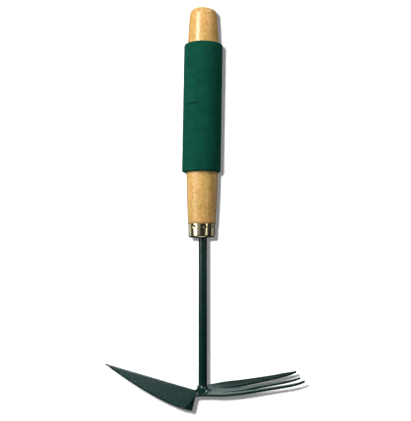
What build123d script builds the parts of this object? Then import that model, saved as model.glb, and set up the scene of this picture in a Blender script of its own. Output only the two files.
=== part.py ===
from build123d import *
import os
from math import cos, radians, sin, tan

# Hand cultivator: a rigid two-ended hand tool, in millimetres.
# +Z runs up the handle, +X towards the three-pronged fork, -X towards the pointed blade.
# The origin is on the handle's axis, half way along the foam grip.

# ---- heights on the handle's axis ----
HANDLE_TOP = 99.3
WOOD_SHOULDER = -111.5
FERRULE_LENGTH = 12.8
PLATE_TOP = -267.8

# ---- foam grip ----
GRIP_LENGTH = 124.0
GRIP_RADIUS = 18.25
GRIP_EDGE = 1.8

# ---- turned wooden handle: radii down its length, with the heights of its neck and waist ----
DOME_RADIUS = 13.1
DOME_DEPTH = 8.7
DOME_FULLNESS = 0.55
NECK_RADIUS = 14.3
NECK_Z = 73.0
BELLY_RADIUS = 15.4
WAIST_RADIUS = 14.35
WAIST_Z = -86.0
SHOULDER_RADIUS = 13.15

# ---- ferrule ----
FERRULE_RADIUS = 12.75
FERRULE_WALL = 0.8
FERRULE_LIP = 3.4
FERRULE_ROUNDING = 1.3
DIMPLE_COUNT = 8
DIMPLE_FIRST_ANGLE = -82.0
DIMPLE_BALL_RADIUS = 1.5
DIMPLE_DEPTH = 0.5
DIMPLE_DROP = 3.0

# ---- shank: a round rod, its upper end driven into the handle as a tang ----
SHANK_RADIUS = 4.0
TANG_LENGTH = 85.0
TANG_POINT = 6.0
FIT_GAP = 0.05

# ---- tool head: one stamping of steel sheet ----
SHEET = 1.8

# fork: three tapering prongs, curved upwards and slightly dished from side to side
NECK_HALF_WIDTH = 30.5
NECK_LEFT = -5.6
NECK_CORNER = 2.0
NECK_SPREAD = 2.5
FORK_TIP_X = 92.0
FORK_RISE = 12.2
FORK_TIP_SLOPE = 0.4
FORK_SWEEP = ((14.0, 0.0), (30.0, 0.8), (54.0, 4.4), (73.5, 7.5), (FORK_TIP_X, FORK_RISE))
FORK_HALF_WIDTH = 44.4
FORK_SHOULDER = (20.5, 43.4)
FORK_WAIST = (40.0, 43.6)
FORK_OUTER_BEND = (76.0, 42.4)
FORK_START_SLOPE = 0.85
FORK_END_SLOPE = 0.6
FORK_DISH = 2.35
DISH_GROWTH = 42.0
OUTER_TIP_Y = 36.0
SLOT_ROOT_X = 19.5
SLOT_ROOT_NEAR = 12.4
SLOT_ROOT_FAR = 15.6
SLOT_ROOT_RADIUS = 1.9
TIP_BLUNT = 0.6
SHEET_SPARE = 3.0
LEVEL_ROWS = 6
SWEEP_ROWS = 24
SHEET_COLUMNS = 8

# blade: two flat wings folded down from a ridge that climbs away from the neck
RIDGE_START_X = -4.5
BLADE_TIP_X = -91.7
BLADE_TIP_RISE = 25.4
WING_SLOPE = 36.0
BLADE_MIDDLE = (-65.3, 11.4)
BLADE_SHOULDER = (-42.6, 18.8)
BLADE_HEEL = (-16.7, 23.0)
HEEL_CORNER = (-7.5, 19.8)
HEEL_CREASE_TOP = (-6.5, 7.2)
HEEL_TURN_IN = 38.0
RIDGE_ROUNDING = 3.0
WEB_HALF_WIDTH = 10.0

# ---- weld bead ----
WELD_RADIUS = 7.6
WELD_HEIGHT = 4.2
WELD_HOLLOW = 0.6

FERRULE_BOTTOM = WOOD_SHOULDER - FERRULE_LENGTH
SEAT_RADIUS = FERRULE_RADIUS - FERRULE_WALL
SHANK_BOTTOM = PLATE_TOP - SHEET
TANG_TOP = WOOD_SHOULDER + TANG_LENGTH
CUTTER_HEIGHT = 2 * FORK_RISE


def rod_outline(gap):
    """Half outline of the shank, grown by the given gap: straight rod, then a pointed top."""
    radius = SHANK_RADIUS + gap
    return (radius, TANG_TOP - TANG_POINT), (0, TANG_TOP + gap)


def turned_handle(bored):
    """The handle: domed end, slim belly and the seat for the ferrule, solid or bored for the tang."""
    seat_end = FERRULE_BOTTOM + FERRULE_WALL
    if bored:
        bore = ((SHANK_RADIUS + FIT_GAP, seat_end), *rod_outline(FIT_GAP))
    else:
        bore = ((0, seat_end),)
    with BuildPart() as turning:
        with BuildSketch(Plane.XZ):
            with BuildLine():
                dome_base = HANDLE_TOP - DOME_DEPTH
                Bezier(
                    (0, HANDLE_TOP),
                    (DOME_FULLNESS * DOME_RADIUS, HANDLE_TOP),
                    (DOME_RADIUS, dome_base + DOME_FULLNESS * DOME_DEPTH),
                    (DOME_RADIUS, dome_base),
                )
                Spline(
                    (DOME_RADIUS, dome_base),
                    (NECK_RADIUS, NECK_Z),
                    (BELLY_RADIUS, 0),
                    (WAIST_RADIUS, WAIST_Z),
                    (SHOULDER_RADIUS, WOOD_SHOULDER),
                )
                Polyline(
                    (SHOULDER_RADIUS, WOOD_SHOULDER),
                    (SEAT_RADIUS, WOOD_SHOULDER),
                    (SEAT_RADIUS, seat_end),
                    *bore,
                    (0, HANDLE_TOP),
                )
            make_face()
        revolve(axis=Axis.Z)
    return turning.part


def make_shank():
    """Round rod with a pointed tang at its top."""
    with BuildPart() as rod:
        with BuildSketch(Plane.XZ):
            Polygon((0, SHANK_BOTTOM), (SHANK_RADIUS, SHANK_BOTTOM), *rod_outline(0), align=None)
        revolve(axis=Axis.Z)
    return rod.part


def make_grip():
    """Foam sleeve stretched over the handle, bored to the handle's own profile."""
    sleeve = Cylinder(GRIP_RADIUS, GRIP_LENGTH)
    sleeve = fillet(sleeve.edges().filter_by(GeomType.CIRCLE), GRIP_EDGE)
    return sleeve - turned_handle(bored=False)


def make_ferrule():
    """Drawn metal cap ferrule with a turned-in lower lip and a ring of punched dimples."""
    with BuildPart() as ferrule:
        with BuildSketch(Plane.XZ):
            with BuildLine():
                wall_inside = FERRULE_RADIUS - FERRULE_WALL
                lip_inside = FERRULE_RADIUS - FERRULE_LIP
                FilletPolyline(
                    (FERRULE_RADIUS, WOOD_SHOULDER),
                    (FERRULE_RADIUS, FERRULE_BOTTOM),
                    (lip_inside, FERRULE_BOTTOM),
                    radius=FERRULE_ROUNDING,
                )
                Polyline(
                    (lip_inside, FERRULE_BOTTOM),
                    (lip_inside, FERRULE_BOTTOM + FERRULE_WALL),
                    (wall_inside, FERRULE_BOTTOM + FERRULE_WALL),
                    (wall_inside, WOOD_SHOULDER),
                    (FERRULE_RADIUS, WOOD_SHOULDER),
                )
            make_face()
        revolve(axis=Axis.Z)
        ball_orbit = FERRULE_RADIUS - DIMPLE_DEPTH + DIMPLE_BALL_RADIUS
        for index in range(DIMPLE_COUNT):
            angle = radians(DIMPLE_FIRST_ANGLE + index * 360 / DIMPLE_COUNT)
            spot = (ball_orbit * cos(angle), ball_orbit * sin(angle), WOOD_SHOULDER - DIMPLE_DROP)
            with Locations(spot):
                Sphere(DIMPLE_BALL_RADIUS, mode=Mode.SUBTRACT)
    return ferrule.part


def fork_profile():
    """Points along the fork's upper face at mid width: the level neck, then the sweep up to the tips."""
    sweep = Spline(*FORK_SWEEP, tangents=((1, 0), (1, FORK_TIP_SLOPE)))
    level_start = NECK_LEFT - SHEET_SPARE
    level_step = (FORK_SWEEP[0][0] - level_start) / LEVEL_ROWS
    points = [Vector(level_start + index * level_step, 0) for index in range(LEVEL_ROWS)]
    points += [sweep @ (index / SWEEP_ROWS) for index in range(SWEEP_ROWS + 1)]
    points.append(sweep @ 1 + (sweep % 1) * SHEET_SPARE)
    return points


def dish_at(x):
    """How far the sheet's edges stand above its middle: nothing at the neck, growing along the fork."""
    share = min(1, (x - NECK_LEFT + SHEET_SPARE) / DISH_GROWTH)
    return FORK_DISH * (1 - (1 - share) ** 2)


def dished_sheet():
    """Curved sheet for the neck and fork, wider than its outline and dished from side to side."""
    half_width = FORK_HALF_WIDTH + SHEET_SPARE
    grid = []
    for place in fork_profile():
        row = []
        for column in range(-SHEET_COLUMNS, SHEET_COLUMNS + 1):
            across = half_width * column / SHEET_COLUMNS
            dish = dish_at(place.X) * (across / FORK_HALF_WIDTH) ** 2
            row.append(Vector(place.X, across, PLATE_TOP + place.Y + dish))
        grid.append(row)
    upper = Face.make_surface_from_array_of_points(grid)
    return thicken(upper, SHEET, normal_override=(0, 0, -1))


def fork_outline():
    """Plan of the neck and fork: rounded shoulders, then prongs that taper to blunt points."""
    with BuildSketch() as outline:
        with BuildLine():
            neck_back = (NECK_LEFT, NECK_HALF_WIDTH)
            neck_front = (-NECK_LEFT, NECK_HALF_WIDTH + NECK_SPREAD)
            outer_tip = (FORK_TIP_X, OUTER_TIP_Y + TIP_BLUNT)
            inner_tip = (FORK_TIP_X, OUTER_TIP_Y - TIP_BLUNT)
            Line((NECK_LEFT, 0), neck_back)
            Line(neck_back, neck_front)
            Spline(
                neck_front,
                FORK_SHOULDER,
                FORK_WAIST,
                FORK_OUTER_BEND,
                outer_tip,
                tangents=((1, FORK_START_SLOPE), (1, -FORK_END_SLOPE)),
            )
            Line(outer_tip, inner_tip)
            Polyline(
                inner_tip,
                (SLOT_ROOT_X, SLOT_ROOT_FAR),
                (SLOT_ROOT_X, SLOT_ROOT_NEAR),
                (FORK_TIP_X, TIP_BLUNT),
                (FORK_TIP_X, 0),
                (NECK_LEFT, 0),
            )
        make_face()
        corner = outline.vertices().group_by(Axis.X)[0].sort_by(Axis.Y)[-1]
        fillet(corner, NECK_CORNER)
        mirror(about=Plane.XZ)
    return outline.sketch


def make_fork():
    """The neck and fork: the dished sheet cut to its outline, with a round relief in each slot."""
    cutter = extrude(Pos(0, 0, PLATE_TOP) * fork_outline(), amount=CUTTER_HEIGHT, both=True)
    fork = dished_sheet() & cutter
    slot_middle = (SLOT_ROOT_NEAR + SLOT_ROOT_FAR) / 2
    for side in (-1, 1):
        slot_root = Cylinder(SLOT_ROOT_RADIUS, CUTTER_HEIGHT)
        fork -= Pos(SLOT_ROOT_X, side * slot_middle, PLATE_TOP) * slot_root
    return fork


def wing_point(plan):
    """Point on the near wing's upper face, from its distance along X and out from the ridge."""
    x, out = plan
    ridge_slope = BLADE_TIP_RISE / (RIDGE_START_X - BLADE_TIP_X)
    height = PLATE_TOP + ridge_slope * (RIDGE_START_X - x) - tan(radians(WING_SLOPE)) * out
    return Vector(x, -out, height)


def sheet_from(edges):
    """Sheet-metal panel: a flat face bounded by the given edges, thickened on its underside."""
    face = Face(Wire(edges))
    normal = face.normal_at()
    if normal.Z < 0:
        normal = -normal
    return Solid.extrude(face, -normal * SHEET)


def make_wing():
    """Near wing of the blade, with its heel corner turned in along a crease."""
    ridge_start = wing_point((RIDGE_START_X, 0))
    tip = wing_point((BLADE_TIP_X, 0))
    middle = wing_point(BLADE_MIDDLE)
    shoulder = wing_point(BLADE_SHOULDER)
    heel = wing_point(BLADE_HEEL)
    crease_top = wing_point(HEEL_CREASE_TOP)
    corner = wing_point(HEEL_CORNER)
    panel = sheet_from(
        [
            Edge.make_spline([tip, middle, shoulder, heel]),
            Edge.make_line(heel, crease_top),
            Edge.make_line(crease_top, ridge_start),
            Edge.make_line(ridge_start, tip),
        ]
    )
    flap = sheet_from(
        [
            Edge.make_line(heel, corner),
            Edge.make_line(corner, crease_top),
            Edge.make_line(crease_top, heel),
        ]
    )
    crease = Axis(crease_top, heel - crease_top)
    return panel + flap.rotate(crease, -HEEL_TURN_IN)


def make_heel_web():
    """Upright web across the neck's back edge, where the sheet drops from the plate to the wings."""
    drop = wing_point(HEEL_CREASE_TOP).Z - SHEET / 2
    with BuildPart() as web:
        with BuildSketch(Plane.YZ.offset(HEEL_CREASE_TOP[0])):
            Polygon(
                (-WEB_HALF_WIDTH, PLATE_TOP - SHEET / 2),
                (-HEEL_CREASE_TOP[1], drop),
                (0, PLATE_TOP - SHEET),
                (HEEL_CREASE_TOP[1], drop),
                (WEB_HALF_WIDTH, PLATE_TOP - SHEET / 2),
                align=None,
            )
        extrude(amount=SHEET)
    return web.part


def make_tool_head():
    """The whole stamping: blade, neck and fork in one piece, pierced for the shank."""
    near_wing = make_wing()
    blade = near_wing + mirror(near_wing, about=Plane.XZ)
    ridge = blade.edges().group_by(SortBy.LENGTH)[-1]
    blade = fillet(ridge, RIDGE_ROUNDING)
    head = blade + make_fork() + make_heel_web()
    return head - Pos(0, 0, PLATE_TOP) * Cylinder(SHANK_RADIUS + FIT_GAP, CUTTER_HEIGHT)


def make_weld(head):
    """Fillet weld round the shank, flared out on to the plate."""
    with BuildPart() as bead:
        with BuildSketch(Plane.XZ):
            with BuildLine():
                top = (SHANK_RADIUS, PLATE_TOP + WELD_HEIGHT)
                toe = (WELD_RADIUS, PLATE_TOP)
                SagittaArc(top, toe, -WELD_HOLLOW)
                Polyline(toe, (SHANK_RADIUS, PLATE_TOP), top)
            make_face()
        revolve(axis=Axis.Z)
    return bead.part - head


def main():
    head = make_tool_head()
    pieces = {
        "wood_handle": turned_handle(bored=True),
        "foam_grip": make_grip(),
        "ferrule": make_ferrule(),
        "shank": make_shank(),
        "tool_head": head,
        "weld_bead": make_weld(head),
    }
    os.makedirs("parts", exist_ok=True)
    for name, piece in pieces.items():
        export_step(piece, f"parts/{name}.step")


main()
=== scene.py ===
import math

import bpy
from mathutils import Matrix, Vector, noise


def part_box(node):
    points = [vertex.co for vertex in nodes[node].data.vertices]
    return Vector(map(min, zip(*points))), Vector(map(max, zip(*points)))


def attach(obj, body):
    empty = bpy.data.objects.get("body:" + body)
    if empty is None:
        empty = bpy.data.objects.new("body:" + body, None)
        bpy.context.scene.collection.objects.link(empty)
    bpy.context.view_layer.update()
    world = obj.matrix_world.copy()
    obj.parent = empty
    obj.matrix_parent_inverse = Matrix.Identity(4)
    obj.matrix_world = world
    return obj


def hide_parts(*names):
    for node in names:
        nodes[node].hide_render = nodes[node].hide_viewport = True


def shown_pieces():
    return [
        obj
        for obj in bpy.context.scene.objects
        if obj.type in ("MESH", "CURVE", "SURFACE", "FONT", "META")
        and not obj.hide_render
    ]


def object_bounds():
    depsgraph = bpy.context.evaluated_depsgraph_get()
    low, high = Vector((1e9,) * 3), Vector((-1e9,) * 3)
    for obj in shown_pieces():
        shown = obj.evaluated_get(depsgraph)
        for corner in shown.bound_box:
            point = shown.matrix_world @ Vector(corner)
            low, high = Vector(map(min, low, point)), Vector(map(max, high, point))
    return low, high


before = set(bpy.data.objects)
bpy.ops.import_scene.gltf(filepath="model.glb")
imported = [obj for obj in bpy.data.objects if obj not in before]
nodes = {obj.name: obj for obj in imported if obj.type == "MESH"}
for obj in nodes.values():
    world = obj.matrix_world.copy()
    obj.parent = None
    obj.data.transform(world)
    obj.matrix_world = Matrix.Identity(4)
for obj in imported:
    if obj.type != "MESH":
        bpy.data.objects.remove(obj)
cad_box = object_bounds()

# Lengths are in metres, and the angles named here in degrees. +Z runs up the handle, +X towards the fork,
# and the camera is on the -Y side.
MM = 0.001

# ---- lean of the handle and of its sleeve against the shank: slope, and the height where they meet it ----
HANDLE_LEAN = (0.0080, 15 * MM)
SLEEVE_LEAN = (0.0167, 22 * MM)

# ---- wood ----
WOOD_SHARP_ANGLE = 35
# Painted shade along the seam with the ferrule: how far up the wood it reaches.
SEAM_SHADE_HEIGHT = 2.6 * MM
WOOD_FIGURE = ((0.79, 0.52, 0.15), (0.97, 0.56, 0.19))
WOOD_MOTTLE = ((0.84, 0.78, 0.66), (1.12, 1.14, 1.22))
WOOD_FIBRES = ((0.84, 0.78, 0.70), (1.02, 1.01, 1.0))
FLECK_COLOUR = (0.24, 0.11, 0.03, 1)
# Colour of the painted shade along the seam with the ferrule.
SEAM_SHADE_COLOUR = (0.10, 0.045, 0.012, 1)

# ---- foam sleeve ----
FOAM_SEGMENTS = 180
FOAM_ROWS = 300
FOAM_EDGE_STEPS = 6
FOAM_BORE_STEPS = 4
FOAM_SHARP_ANGLE = 60
FOAM_BORE_REACH = 8 * MM
FOAM_EDGE = 2.2 * MM
FOAM_SWELL = 0.3 * MM
FOAM_GRAIN = 0.10 * MM
FOAM_GRAIN_SIZE = 1.3 * MM
FOAM_LUMP = 0.12 * MM
FOAM_LUMP_SIZE = 16 * MM
FOAM_CREASE_SHARE = 0.513
FOAM_CREASE_DEPTH = 1.1 * MM
FOAM_CREASE_WIDTH = 0.5 * MM
FOAM_CREASE_SLANT = 0.5 * MM
FOAM_CREASE_SIDE = -123
FOAM_CREASE_SPREAD = 27
FOAM_CELLS = ((0.004, 0.058, 0.037), (0.008, 0.110, 0.070))
FOAM_WEAR = ((0.8, 0.85, 0.85), (1.15, 1.1, 1.1))
FOAM_SHEEN = (0.10, 0.75, 0.55, 1)

# ---- ferrule ----
FERRULE_SEGMENTS = 192
FERRULE_ROWS = 24
FERRULE_ROLL_STEPS = 8
FERRULE_SHARP_ANGLE = 35
FERRULE_WALL = 0.8 * MM
FERRULE_ROLL = 1.5 * MM
FERRULE_LIP = 3.4 * MM
FERRULE_LIP_BREAK = 0.2 * MM
FERRULE_TAPER = 0.25 * MM
DIMPLES = 8
DIMPLE_FIRST = -82
DIMPLE_DROP = 3.0 * MM
DIMPLE_WIDTH = 1.1 * MM
DIMPLE_DEPTH = 0.5 * MM
BRASS_TARNISH = ((0.66, 0.59, 0.34), (0.84, 0.77, 0.50))

# ---- shank and its paint ----
SHANK_SEGMENTS = 64
SHANK_ROWS = 150
SHANK_SHARP_ANGLE = 40
SHANK_POINT = 6 * MM
SHANK_TIP_RADIUS = 0.02 * MM
PAINT_WAVE = 0.05 * MM
PAINT_WAVE_SIZE = 9 * MM
PAINT_WAVE_SQUEEZE = 0.4
PAINT_EDGE = 0.35 * MM
PAINT_CLOUD = ((0.0012, 0.024, 0.019), (0.0026, 0.036, 0.029))
# Runs in the paint: side of the rod, share of the rod's height, depth.
PAINT_RUNS = (
    (-118, 0.62, 0.30 * MM),
    (-70, 0.235, 0.28 * MM),
    (40, 0.42, 0.22 * MM),
    (150, 0.30, 0.30 * MM),
)
RUN_WIDTH = 1.3 * MM
RUN_LENGTH = 3.5 * MM
RUN_FOOT_LENGTH = 0.3 * RUN_LENGTH

# ---- weld bead ----
WELD_SEGMENTS = 96
WELD_ROWS = 14
WELD_SHARP_ANGLE = 50
WELD_HOLLOW = 0.385 * MM
WELD_OVERLAP = 0.5 * MM
WELD_SINK = 0.5 * MM
WELD_MARGIN = 0.1 * MM
WELD_LUMP = 0.24 * MM
WELD_LUMP_SIZE = 2.6 * MM
WELD_LUMP_FADE = 4
WELD_LUMP_BIAS = 0.35
WELD_BULGE = 1.6 * MM
WELD_BULGE_SIDE = -20

# ---- camera ----
CAMERA_OFFSET = (2.6 * MM, -817 * MM)
CAMERA_ABOVE_BOTTOM = 133.4 * MM
CAMERA_PITCH = 3.7
CAMERA_LENS = 75.15
CAMERA_SENSOR = 36
CAMERA_CLIP = (0.01, 20)

# ---- stage: two cards that end about where their lamps stop keeping them white ----
BACKDROP_DISTANCE = 0.60
BACKDROP_SIZE = 1.5
FLOOR_DROP = 0.13
CARD_TONE = 0.8
SHADE_TONE = 0.19

# ---- lamps that light only the stage ----
SHADOW_LAMP_OFFSET = Vector((-8.6 * MM, 0, 8 * MM))
SHADOW_LAMP_RADIUS = 3 * MM
SHADOW_LAMP_POWER = 120
FLOOR_SUN_STRENGTH = 2.6
FLOOR_SUN_ANGLE = 25

# ---- softboxes that light only the tool ----
HEAD_HEIGHT = 20 * MM
GRIP_DROP = 165 * MM
WORLD_TONE = 0.025
WHITE = (1.0, 1.0, 1.0)
COOL = (0.80, 0.88, 1.0)
SEA = (0.84, 1.0, 0.97)
# Name, azimuth, elevation, distance, width and height, radiance, tint, and the place it points at. Azimuth 0
# is the camera's side and 90 is +X.
SOFTBOXES = (
    ("key", -42, 27, 0.8, (0.34, 0.30), 17.0, WHITE, "grip"),
    ("left_panel", -56, 4, 0.9, (0.44, 0.30), 3.6, WHITE, "centre"),
    ("left_back", -121, 3, 0.9, (0.50, 0.30), 0.8, WHITE, "centre"),
    ("left_front", -24, 3, 0.9, (0.36, 0.16), 0.4, WHITE, "centre"),
    ("right_panel", 42, 5, 0.9, (0.20, 0.24), 2.2, WHITE, "centre"),
    ("right_high", 58, 50, 0.8, (0.36, 0.30), 5.3, WHITE, "grip"),
    ("right_side", 112, 4, 0.9, (0.60, 0.30), 0.35, WHITE, "centre"),
    ("overhead", 169, 60, 0.8, (0.20, 0.20), 11.0, COOL, "head"),
    ("low_back", 180, 6.4, 0.8, (0.9, 0.095), 0.85, SEA, "head"),
    ("back_fill", 180, 55, 0.9, (0.50, 0.30), 2.8, WHITE, "grip"),
    ("under_fill", 0, -78, 0.7, (0.60, 0.60), 2.0, WHITE, "head"),
)


# ---------------------------------------------------------------- shape tools
def profile_radius(node, z, reach):
    """Widest radius of a turned CAD node within reach of height z."""
    near = [v.co for v in nodes[node].data.vertices if abs(v.co.z - z) < reach]
    return max(math.hypot(co.x, co.y) for co in near)


def point(angle, radius, z):
    """Place at an angle, in radians, and a radius round the tool's axis."""
    return Vector((radius * math.cos(angle), radius * math.sin(angle), z))


def turn_from(side, angle, pitch=360):
    """Degrees from the given side, or from the nearest one of a ring of sides that stand a pitch apart."""
    return (math.degrees(angle) - side + pitch / 2) % pitch - pitch / 2


def quarter_turn(steps):
    """Angles from 0 to a right angle in equal steps, in radians."""
    return [math.pi / 2 * step / steps for step in range(steps + 1)]


def leaning(lean, angle, z):
    """Outward shift that leans a turned piece to one side."""
    slope, pivot = lean
    return slope * (z - pivot) * math.cos(angle)


def show(name, data):
    """Object that holds the data, in the scene."""
    shown = bpy.data.objects.new(name, data)
    bpy.context.scene.collection.objects.link(shown)
    return shown


def lathe(name, profile, segments, shift):
    """Piece turned from a closed (radius, z) profile; shift(angle, radius, z) moves each point outwards."""
    vertices = []
    for radius, z in profile:
        for step in range(segments):
            angle = 2 * math.pi * step / segments
            vertices.append(point(angle, radius + shift(angle, radius, z), z))
    faces = []
    for row in range(len(profile)):
        ahead = (row + 1) % len(profile)
        for step in range(segments):
            beside = (step + 1) % segments
            corners = ((row, step), (row, beside), (ahead, beside), (ahead, step))
            faces.append([ring * segments + place for ring, place in corners])
    mesh = bpy.data.meshes.new(name)
    mesh.from_pydata(vertices, [], faces)
    mesh.validate()
    mesh.update()
    return show(name, mesh)


def finish(piece, material, node, sharp_angle):
    """Smooths a piece except at its sharp edges, and puts it in the CAD node's place."""
    piece.data.shade_smooth()
    piece.data.set_sharp_from_angle(angle=math.radians(sharp_angle))
    piece.data.materials.append(material)
    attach(piece, "root")
    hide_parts(node)


# ---------------------------------------------------------------- material tools
def new_material(name, sockets):
    """Material with one Principled shader, and values for some of its sockets."""
    material = bpy.data.materials.new(name)
    material.use_nodes = True
    shader = material.node_tree.nodes["Principled BSDF"]
    for socket, value in sockets.items():
        shader.inputs[socket].default_value = value
    return material, shader


def add(owner, kind, **settings):
    """New node in the tree of a material or the world."""
    node = owner.node_tree.nodes.new(kind)
    for key, value in settings.items():
        setattr(node, key, value)
    return node


def link(owner, output, socket):
    """Joins two nodes of a material or the world."""
    owner.node_tree.links.new(output, socket)


def noise_texture(material, size, stretch=(1, 1, 1), detail=3.0, roughness=0.5):
    """Noise whose spots are about the given size, drawn out along the axes by stretch."""
    place = add(material, "ShaderNodeTexCoord")
    mapping = add(material, "ShaderNodeMapping")
    mapping.inputs["Scale"].default_value = [1 / s for s in stretch]
    texture = add(material, "ShaderNodeTexNoise")
    texture.inputs["Scale"].default_value = 1 / size
    texture.inputs["Detail"].default_value = detail
    texture.inputs["Roughness"].default_value = roughness
    link(material, place.outputs["Object"], mapping.inputs["Vector"])
    link(material, mapping.outputs["Vector"], texture.inputs["Vector"])
    return texture.outputs["Fac"]


def ramp(material, factor, source, colours):
    """Blends two colours over the source range of a factor."""
    node = add(material, "ShaderNodeValToRGB")
    for element, position, colour in zip(node.color_ramp.elements, source, colours):
        element.position = position
        element.color = (*colour, 1)
    link(material, factor, node.inputs["Fac"])
    return node.outputs["Color"]


def mix(material, factor, first, second, blend="MIX"):
    """Mixes two colours; each input is a value or another node's output."""
    node = add(material, "ShaderNodeMix", data_type="RGBA", blend_type=blend)
    # The node names its number, vector and colour sockets alike, so its colour sockets go by number.
    for value, socket in ((factor, node.inputs[0]), (first, node.inputs[6]), (second, node.inputs[7])):
        if isinstance(value, bpy.types.NodeSocket):
            link(material, value, socket)
        else:
            socket.default_value = value
    return node.outputs[2]


def span(material, value, source, target):
    """Maps the source range of a value to the target range, and holds still beyond its ends."""
    node = add(material, "ShaderNodeMapRange")
    node.inputs["From Min"].default_value, node.inputs["From Max"].default_value = source
    node.inputs["To Min"].default_value, node.inputs["To Max"].default_value = target
    link(material, value, node.inputs["Value"])
    return node.outputs["Result"]


def bump(material, shader, height, strength, distance, before=None):
    """Bumps the shader's surface by a height, on top of an earlier normal if one is given."""
    node = add(material, "ShaderNodeBump")
    node.inputs["Strength"].default_value = strength
    node.inputs["Distance"].default_value = distance
    link(material, height, node.inputs["Height"])
    if before:
        link(material, before, node.inputs["Normal"])
    link(material, node.outputs["Normal"], shader.inputs["Normal"])


# ---------------------------------------------------------------- materials
def foam_material():
    """Matt green cellular foam: a fine open grain, with patches that are slightly darker or paler."""
    material, shader = new_material(
        "green_foam",
        {
            "Roughness": 0.95,
            "Specular IOR Level": 0.04,
            "Sheen Weight": 0.12,
            "Sheen Roughness": 0.5,
            "Sheen Tint": FOAM_SHEEN,
        },
    )
    cells = noise_texture(material, size=0.7 * MM, detail=2)
    patches = noise_texture(material, size=9 * MM, detail=3)
    colour = ramp(material, cells, (0.32, 0.72), FOAM_CELLS)
    worn = ramp(material, patches, (0.35, 0.75), FOAM_WEAR)
    link(material, mix(material, 1.0, colour, worn, "MULTIPLY"), shader.inputs["Base Color"])
    bump(material, shader, cells, strength=0.8, distance=0.25 * MM)
    return material


def seam_shade_mask(material, mottle):
    """Patchy mask for painted shade along the seam, strongest at the ferrule's upper edge and gone a little
    way up the wood.
    """
    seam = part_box("ferrule")[1].z
    place = add(material, "ShaderNodeTexCoord")
    height = add(material, "ShaderNodeSeparateXYZ")
    link(material, place.outputs["Object"], height.inputs["Vector"])
    mask = add(material, "ShaderNodeMath", operation="MULTIPLY")
    link(material, span(material, height.outputs["Z"], (seam, seam + SEAM_SHADE_HEIGHT), (1, 0)), mask.inputs[0])
    link(material, span(material, mottle, (0.4, 0.6), (0.4, 1)), mask.inputs[1])
    return mask.outputs["Value"]


def wood_material():
    """Varnished pale hardwood: fine long fibres, blotchy figure, dark flecks and painted shade along the
    seam with the ferrule.
    """
    material, shader = new_material(
        "lacquered_wood",
        {"Coat Weight": 0.4, "Coat Roughness": 0.18, "Coat IOR": 1.5, "Specular IOR Level": 0.4},
    )
    figure = noise_texture(material, size=14 * MM, stretch=(1, 1, 1.8), detail=4)
    mottle = noise_texture(material, size=2.6 * MM, stretch=(1, 1, 1.4), detail=3, roughness=0.65)
    fibres = noise_texture(material, size=1.1 * MM, stretch=(1, 1, 22), detail=4, roughness=0.6)
    flecks = noise_texture(material, size=1.3 * MM, stretch=(1, 1, 1.8), detail=1)
    colour = ramp(material, figure, (0.36, 0.64), WOOD_FIGURE)
    patches = ramp(material, mottle, (0.34, 0.66), WOOD_MOTTLE)
    grain = ramp(material, fibres, (0.30, 0.62), WOOD_FIBRES)
    colour = mix(material, 1.0, colour, patches, "MULTIPLY")
    colour = mix(material, 0.8, colour, grain, "MULTIPLY")
    colour = mix(material, span(material, flecks, (0.66, 0.74), (0, 0.75)), colour, FLECK_COLOUR)
    # Painted shade: a patchy darkening of the wood along its seam with the ferrule.
    colour = mix(material, seam_shade_mask(material, mottle), colour, SEAM_SHADE_COLOUR)
    link(material, colour, shader.inputs["Base Color"])
    link(material, span(material, fibres, (0.2, 0.8), (0.5, 0.3)), shader.inputs["Roughness"])
    bump(material, shader, fibres, strength=0.25, distance=0.05 * MM)
    return material


def brass_material():
    """Thin yellow metal plate, drawn with faint upright scratches and dulled here and there."""
    material, shader = new_material("brass_plate", {"Metallic": 1.0})
    tarnish = noise_texture(material, size=3 * MM, detail=4)
    scratches = noise_texture(material, size=0.5 * MM, stretch=(1, 1, 20), detail=2)
    link(material, ramp(material, tarnish, (0.35, 0.7), BRASS_TARNISH), shader.inputs["Base Color"])
    link(material, span(material, tarnish, (0.3, 0.7), (0.24, 0.14)), shader.inputs["Roughness"])
    bump(material, shader, scratches, strength=0.08, distance=0.03 * MM)
    return material


def paint_material():
    """Dark green enamel over steel: a gloss coat with a little orange peel and softly rounded edges."""
    material, shader = new_material("green_paint", {"Specular IOR Level": 0.5})
    cloud = noise_texture(material, size=9 * MM, detail=3)
    peel = noise_texture(material, size=2.5 * MM, detail=1)
    link(material, ramp(material, cloud, (0.35, 0.7), PAINT_CLOUD), shader.inputs["Base Color"])
    link(material, span(material, cloud, (0.3, 0.7), (0.27, 0.23)), shader.inputs["Roughness"])
    soft_edge = add(material, "ShaderNodeBevel", samples=6)
    soft_edge.inputs["Radius"].default_value = PAINT_EDGE
    bump(material, shader, peel, strength=0.12, distance=0.03 * MM, before=soft_edge.outputs["Normal"])
    return material


# ---------------------------------------------------------------- pieces
def leaning_wood():
    """Copy of the turned handle, leaned a touch to one side as the real one is."""
    mesh = nodes["wood_handle"].data.copy()
    mesh.materials.clear()
    slope, pivot = HANDLE_LEAN
    for vertex in mesh.vertices:
        vertex.co.x += slope * (vertex.co.z - pivot)
    mesh.update()
    handle = show("turned_handle", mesh)
    finish(handle, wood_material(), "wood_handle", WOOD_SHARP_ANGLE)


def crease(angle, z, low, high):
    """Depth of the short, slightly slanted crease on the left of the foam, about half way up."""
    side = turn_from(FOAM_CREASE_SIDE, angle) / FOAM_CREASE_SPREAD
    line = low.z + FOAM_CREASE_SHARE * (high.z - low.z) + FOAM_CREASE_SLANT * side
    return FOAM_CREASE_DEPTH * math.exp(-(side**4)) * math.exp(-(((z - line) / FOAM_CREASE_WIDTH) ** 2))


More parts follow.
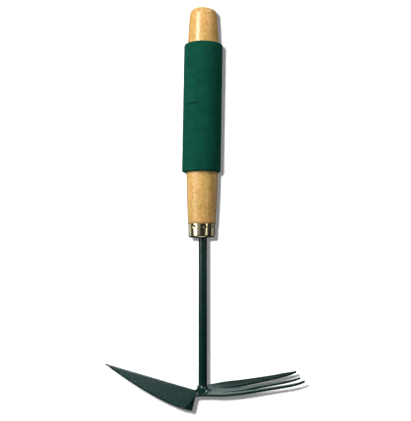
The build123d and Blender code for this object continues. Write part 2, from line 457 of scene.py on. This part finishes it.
def foam_sleeve():
    """Foam tube with rounded ends, a grainy and slightly lumpy skin, and one crease."""
    low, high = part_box("foam_grip")
    outer = high.x + FOAM_SWELL
    rounding = [
        (outer - FOAM_EDGE * (1 - math.sin(turn)), FOAM_EDGE * (1 - math.cos(turn)))
        for turn in quarter_turn(FOAM_EDGE_STEPS)
    ]
    profile = [(radius, low.z + inset) for radius, inset in rounding]
    for row in range(1, FOAM_ROWS):
        share = row / FOAM_ROWS
        profile.append((outer, low.z + FOAM_EDGE + share * (high.z - low.z - 2 * FOAM_EDGE)))
    profile += [(radius, high.z - inset) for radius, inset in reversed(rounding)]
    for step in range(FOAM_BORE_STEPS, -1, -1):
        z = low.z + step / FOAM_BORE_STEPS * (high.z - low.z)
        profile.append((profile_radius("wood_handle", z, FOAM_BORE_REACH), z))

    def grain(angle, radius, z):
        if radius < outer - FOAM_EDGE:
            return 0
        place = point(angle, radius, z)
        fine = FOAM_GRAIN * noise.noise(place / FOAM_GRAIN_SIZE)
        broad = FOAM_LUMP * noise.noise(place / FOAM_LUMP_SIZE)
        return fine + broad - crease(angle, z, low, high) + leaning(SLEEVE_LEAN, angle, z)

    sleeve = lathe("foam_sleeve", profile, FOAM_SEGMENTS, grain)
    finish(sleeve, foam_material(), "foam_grip", FOAM_SHARP_ANGLE)


def ferrule_shell():
    """Drawn metal cap with a slight taper, a rolled lower edge, a turned-in lip and a ring of dimples."""
    low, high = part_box("ferrule")
    outer = high.x
    waist = outer - FERRULE_TAPER
    lip = outer - FERRULE_LIP
    profile = []
    for row in range(FERRULE_ROWS + 1):
        share = row / FERRULE_ROWS
        profile.append((outer - FERRULE_TAPER * share, high.z - share * (high.z - low.z - FERRULE_ROLL)))
    for turn in quarter_turn(FERRULE_ROLL_STEPS)[1:]:
        across = waist - FERRULE_ROLL * (1 - math.cos(turn))
        profile.append((across, low.z + FERRULE_ROLL * (1 - math.sin(turn))))
    profile += [
        (lip + FERRULE_LIP_BREAK, low.z),
        (lip, low.z + FERRULE_LIP_BREAK),
        (lip, low.z + FERRULE_WALL),
        (waist - FERRULE_WALL, low.z + FERRULE_WALL),
        (outer - FERRULE_WALL, high.z),
    ]

    def dimple(angle, radius, z):
        lean = leaning(HANDLE_LEAN, angle, z)
        if radius < waist - FERRULE_ROLL:
            return lean
        beside = math.radians(turn_from(DIMPLE_FIRST, angle, 360 / DIMPLES)) * radius
        above = z - (high.z - DIMPLE_DROP)
        return lean - DIMPLE_DEPTH * math.exp(-((beside**2 + above**2) / DIMPLE_WIDTH**2))

    shell = lathe("ferrule_shell", profile, FERRULE_SEGMENTS, dimple)
    finish(shell, brass_material(), "ferrule", FERRULE_SHARP_ANGLE)


def shank_rod(paint):
    """Painted rod, with the coat gathered in a few small runs, and the bare point inside the handle."""
    low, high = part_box("shank")
    radius = high.x
    straight = high.z - SHANK_POINT - low.z
    profile = [(SHANK_TIP_RADIUS, low.z)]
    profile += [(radius, low.z + straight * row / SHANK_ROWS) for row in range(SHANK_ROWS + 1)]
    profile.append((SHANK_TIP_RADIUS, high.z))

    def coat(angle, out, z):
        if out < radius:
            return 0
        # Squeezing the height draws the waves out along the rod.
        thick = PAINT_WAVE * noise.noise(point(angle, out, z * PAINT_WAVE_SQUEEZE) / PAINT_WAVE_SIZE)
        for side, share, depth in PAINT_RUNS:
            beside = math.radians(turn_from(side, angle)) * radius / RUN_WIDTH
            above = z - (low.z + share * straight)
            along = above / (RUN_LENGTH if above > 0 else RUN_FOOT_LENGTH)
            thick += depth * math.exp(-(beside**2) - along**2)
        return thick

    rod = lathe("shank_rod", profile, SHANK_SEGMENTS, coat)
    finish(rod, paint, "shank", SHANK_SHARP_ANGLE)


def weld_fillet(paint):
    """Uneven fillet weld round the foot of the shank, hollow in section and lumpy to the touch."""
    low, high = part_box("weld_bead")
    tall = high.z - low.z
    toe = high.x
    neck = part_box("shank")[1].x
    profile = []
    for row in range(WELD_ROWS + 1):
        share = row / WELD_ROWS
        hollow = WELD_HOLLOW * math.sin(math.pi * share)
        profile.append((toe + (neck - toe) * share - hollow, low.z + tall * share - hollow))
    profile += [
        (neck - WELD_OVERLAP, high.z),
        (neck - WELD_OVERLAP, low.z - WELD_SINK),
        (toe, low.z - WELD_SINK),
    ]

    def lumps(angle, radius, z):
        if radius < neck - WELD_MARGIN or z < low.z - WELD_MARGIN:
            return 0
        depth = min(1, max(0, (high.z - z) / tall))
        toward = max(0, math.cos(angle - math.radians(WELD_BULGE_SIDE)))
        rough = noise.noise(point(angle, radius, z) / WELD_LUMP_SIZE) - WELD_LUMP_BIAS
        return WELD_LUMP * min(1, WELD_LUMP_FADE * depth) * rough + WELD_BULGE * toward**2 * depth**2

    bead = lathe("weld_fillet", profile, WELD_SEGMENTS, lumps)
    finish(bead, paint, "weld_bead", WELD_SHARP_ANGLE)


def paint_head(paint):
    """Gives the CAD's own head the painted finish."""
    slots = nodes["tool_head"].data.materials
    slots.clear()
    slots.append(paint)


# ---------------------------------------------------------------- stage, lights and camera
def stage_material():
    """Pale card: white where its lamp reaches, soft grey in shade, and clear from behind."""
    material = bpy.data.materials.new("pale_card")
    material.use_nodes = True
    material.node_tree.nodes.clear()
    output = add(material, "ShaderNodeOutputMaterial")
    diffuse = add(material, "ShaderNodeBsdfDiffuse")
    diffuse.inputs["Color"].default_value = (CARD_TONE, CARD_TONE, CARD_TONE, 1)
    glow = add(material, "ShaderNodeEmission")
    glow.inputs["Color"].default_value = (SHADE_TONE, SHADE_TONE, SHADE_TONE, 1)
    both = add(material, "ShaderNodeAddShader")
    clear = add(material, "ShaderNodeBsdfTransparent")
    side = add(material, "ShaderNodeNewGeometry")
    choose = add(material, "ShaderNodeMixShader")
    link(material, diffuse.outputs[0], both.inputs[0])
    link(material, glow.outputs[0], both.inputs[1])
    link(material, side.outputs["Backfacing"], choose.inputs[0])
    link(material, both.outputs[0], choose.inputs[1])
    link(material, clear.outputs[0], choose.inputs[2])
    link(material, choose.outputs[0], output.inputs["Surface"])
    return material


def panel(name, corners, material, group):
    """One card of the stage, which the tool neither reflects nor takes light from."""
    mesh = bpy.data.meshes.new(name)
    mesh.from_pydata(corners, [], [(0, 1, 2, 3)])
    mesh.materials.append(material)
    card = bpy.data.objects.new(name, mesh)
    group.objects.link(card)
    card.visible_glossy = False
    card.visible_diffuse = False
    card.visible_shadow = False


def build_stage(low):
    """Backdrop behind the tool and floor below it."""
    group = bpy.data.collections.new("stage")
    bpy.context.scene.collection.children.link(group)
    material = stage_material()
    half = BACKDROP_SIZE / 2
    back = BACKDROP_DISTANCE
    floor = low.z - FLOOR_DROP
    top = floor + half
    wall = [(-half, back, floor), (half, back, floor), (half, back, top), (-half, back, top)]
    ground = [(-half, -half, floor), (half, -half, floor), (half, back, floor), (-half, back, floor)]
    panel("backdrop", wall, material, group)
    panel("floor", ground, material, group)
    return group


def new_lamp(name, kind, receivers):
    """Lamp that the camera doesn't see and that lights only the receivers."""
    lamp = show(name, bpy.data.lights.new(name, kind))
    lamp.visible_camera = False
    lamp.light_linking.receiver_collection = receivers
    return lamp


def softbox(name, azimuth, elevation, distance, size, radiance, tint, target, receivers):
    """Rectangular lamp that stands away from its target and faces it."""
    around = math.radians(azimuth)
    up = math.radians(elevation)
    away = Vector((math.sin(around) * math.cos(up), -math.cos(around) * math.cos(up), math.sin(up)))
    lamp = new_lamp(name, "AREA", receivers)
    lamp.data.shape = "RECTANGLE"
    lamp.data.size, lamp.data.size_y = size
    lamp.data.energy = radiance * math.pi * size[0] * size[1]
    lamp.data.color = tint
    lamp.location = target + away * distance
    lamp.rotation_euler = (-away).to_track_quat("-Z", "Y").to_euler()


def build_softboxes(low, high, tool_group):
    """Softboxes round the tool, each aimed at its middle, its head or its grip."""
    targets = {
        "centre": (low + high) / 2,
        "head": Vector((0, 0, low.z + HEAD_HEIGHT)),
        "grip": Vector((0, 0, high.z - GRIP_DROP)),
    }
    for name, azimuth, elevation, distance, size, radiance, tint, target in SOFTBOXES:
        softbox(name, azimuth, elevation, distance, size, radiance, tint, targets[target], tool_group)


def build_world():
    """Dim room for the tool to reflect, which the camera sees as plain white."""
    world = bpy.data.worlds.new("studio")
    bpy.context.scene.world = world
    world.use_nodes = True
    room = world.node_tree.nodes["Background"]
    room.inputs["Color"].default_value = (WORLD_TONE, WORLD_TONE, WORLD_TONE, 1)
    sky = add(world, "ShaderNodeBackground")
    sky.inputs["Color"].default_value = (*WHITE, 1)
    path = add(world, "ShaderNodeLightPath")
    choose = add(world, "ShaderNodeMixShader")
    link(world, path.outputs["Is Camera Ray"], choose.inputs[0])
    link(world, room.outputs[0], choose.inputs[1])
    link(world, sky.outputs[0], choose.inputs[2])
    link(world, choose.outputs[0], world.node_tree.nodes["World Output"].inputs["Surface"])


def build_stage_lamps(low, stage_group):
    """Lamp beside the camera that throws the tool's shadow on the backdrop, and a sun for the floor."""
    shadow_lamp = new_lamp("shadow_lamp", "POINT", stage_group)
    shadow_lamp.data.shadow_soft_size = SHADOW_LAMP_RADIUS
    shadow_lamp.data.energy = SHADOW_LAMP_POWER
    shadow_lamp.location = camera_place(low) + SHADOW_LAMP_OFFSET
    sun = new_lamp("floor_sun", "SUN", stage_group)
    sun.data.energy = FLOOR_SUN_STRENGTH
    sun.data.angle = math.radians(FLOOR_SUN_ANGLE)


def camera_place(low):
    return Vector((*CAMERA_OFFSET, low.z + CAMERA_ABOVE_BOTTOM))


def build_camera(low):
    camera = show("camera", bpy.data.cameras.new("camera"))
    camera.data.sensor_fit = "HORIZONTAL"
    camera.data.sensor_width = CAMERA_SENSOR
    camera.data.lens = CAMERA_LENS
    camera.data.clip_start, camera.data.clip_end = CAMERA_CLIP
    camera.location = camera_place(low)
    camera.rotation_euler = (math.radians(90 + CAMERA_PITCH), 0, 0)
    bpy.context.scene.camera = camera


def main():
    low, high = cad_box
    paint = paint_material()
    paint_head(paint)
    leaning_wood()
    foam_sleeve()
    ferrule_shell()
    shank_rod(paint)
    weld_fillet(paint)
    tool_group = bpy.data.collections.new("tool")
    bpy.context.scene.collection.children.link(tool_group)
    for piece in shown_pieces():
        tool_group.objects.link(piece)
    build_camera(low)
    stage_group = build_stage(low)
    build_softboxes(low, high, tool_group)
    build_world()
    build_stage_lamps(low, stage_group)
    bpy.context.scene.view_settings.view_transform = "Standard"


main()
